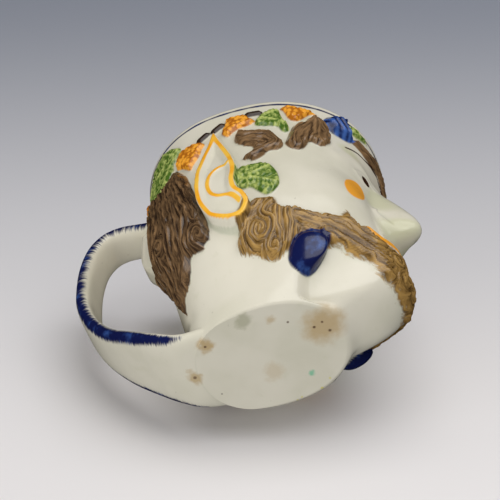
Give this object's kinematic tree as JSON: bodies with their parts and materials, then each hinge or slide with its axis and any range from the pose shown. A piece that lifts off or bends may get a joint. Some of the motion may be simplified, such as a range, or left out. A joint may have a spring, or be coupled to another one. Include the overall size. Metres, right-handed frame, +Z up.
{
  "type": "satyr head mug",
  "caption": "Hollow earthenware drinking mug moulded as a bearded satyr's head with a vine garland under the rim, a flat oval foot and a strap handle at the back.",
  "frame": {"origin": "middle of the flat oval underside of the foot", "axes": "+Z up along the mug, -Y toward the satyr's face, +Y toward the handle, -X the satyr's right side"},
  "size_m": [0.1024, 0.1452, 0.1128],
  "materials": {
    "glazed_earthenware": "glossy lead glaze over a cream-white body, painted under the glaze in cobalt blue, orange, green and brown"
  },
  "bodies": {
    "root": {"satyr_mug": "glazed_earthenware"}
  },
  "joints": []
}
